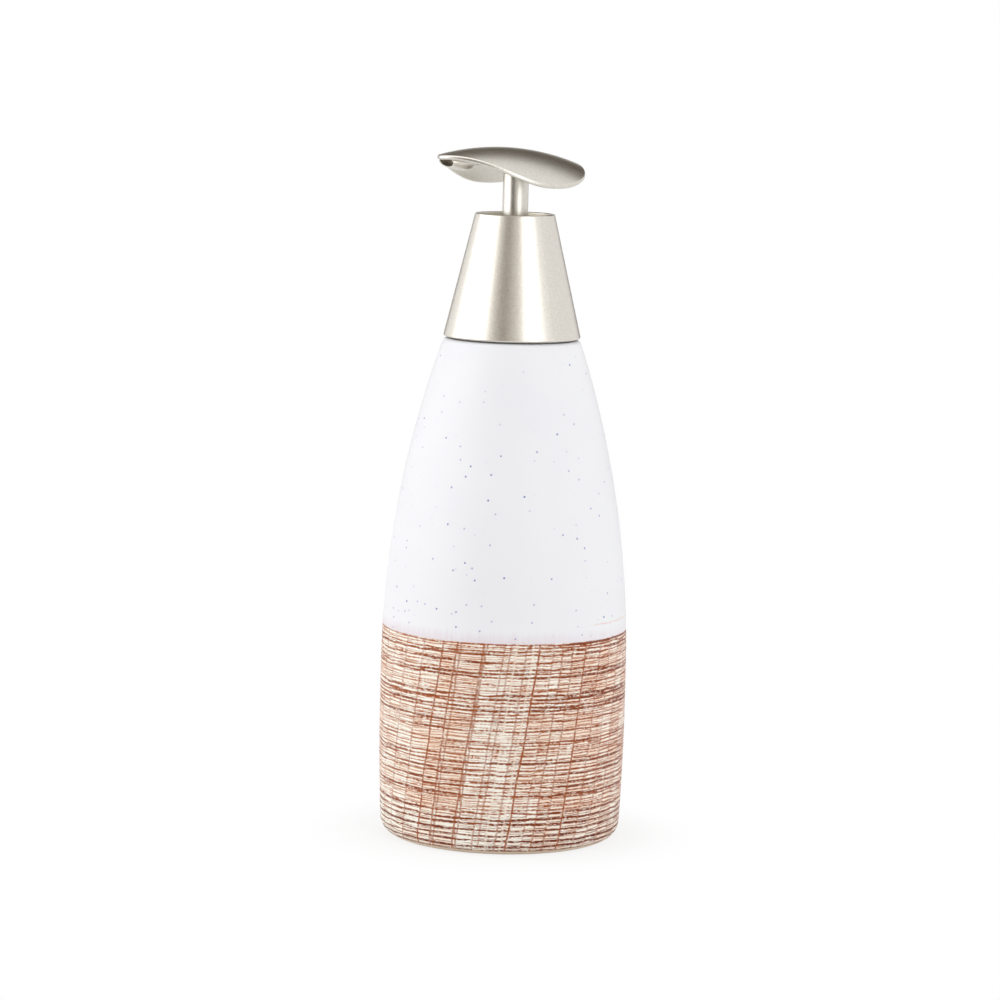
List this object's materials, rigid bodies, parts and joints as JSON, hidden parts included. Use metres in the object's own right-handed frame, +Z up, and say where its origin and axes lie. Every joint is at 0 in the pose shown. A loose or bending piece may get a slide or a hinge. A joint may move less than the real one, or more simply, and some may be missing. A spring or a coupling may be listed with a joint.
{
  "type": "soap pump dispenser",
  "caption": "Free-standing refillable glazed bottle with a screw-on cone collar and a spring-return press pump whose leaf-shaped head pours from a spout under its tip.",
  "frame": {"origin": "centre of the foot ring, on the surface the bottle stands on", "axes": "+Z up along the bottle's axis, -Y towards the spout, +X to the right when the spout points at the viewer"},
  "size_m": [0.07, 0.07, 0.196],
  "materials": {
    "glazed_stoneware": "satin",
    "champagne_plating": "satin",
    "white_plastic": "satin",
    "clear_tube": "gloss",
    "soft_seal": "matte",
    "piston_polymer": "satin",
    "spring_steel": "satin",
    "ball_steel": "polished"
  },
  "bodies": {
    "bottle": {"bottle_body": "glazed_stoneware", "neck_insert": "white_plastic"},
    "pump_unit": {"neck_gasket": "soft_seal", "pump_housing": "white_plastic", "dip_tube": "clear_tube", "ball_cage": "white_plastic", "return_spring": "spring_steel", "chaplet": "white_plastic", "stem_wiper": "soft_seal"},
    "inlet_valve": {"inlet_ball": "ball_steel"},
    "closure": {"screw_cap": "white_plastic", "collar_cover": "champagne_plating", "stem_bush": "champagne_plating"},
    "plunger": {"pump_stem": "white_plastic", "piston_seat": "white_plastic"},
    "sliding_piston": {"piston": "piston_polymer"},
    "head": {"pump_head": "champagne_plating", "stem_sleeve": "champagne_plating", "spout_liner": "white_plastic"}
  },
  "joints": [
    {"name": "closure_turn", "type": "hinge", "parent": "pump_unit", "child": "closure", "pos_m": [0, 0, 0.15], "axis": [0, 0, 1], "range_deg": [0, 540]},
    {"name": "pump_lift", "type": "slide", "parent": "bottle", "child": "pump_unit", "axis": [0, 0, 1], "range_m": [0, 0.00476]},
    {"name": "pump_press", "type": "slide", "parent": "pump_unit", "child": "plunger", "axis": [0, 0, -1], "range_m": [0, 0.0105], "stiffness_N_per_m": 600, "springref_m": -0.006, "deforming": ["return_spring"]},
    {"name": "piston_slip", "type": "slide", "parent": "plunger", "child": "sliding_piston", "axis": [0, 0, 1], "range_m": [0, 0.0015]},
    {"name": "head_swivel", "type": "hinge", "parent": "plunger", "child": "head", "pos_m": [0, 0, 0.18], "axis": [0, 0, 1], "continuous": true},
    {"name": "ball_lift", "type": "slide", "parent": "pump_unit", "child": "inlet_valve", "axis": [0, 0, 1], "range_m": [0, 0.0016]}
  ],
  "couplings": [
    {"joint": "closure_turn", "follows": "pump_lift", "rad_per_m": 1979}
  ]
}
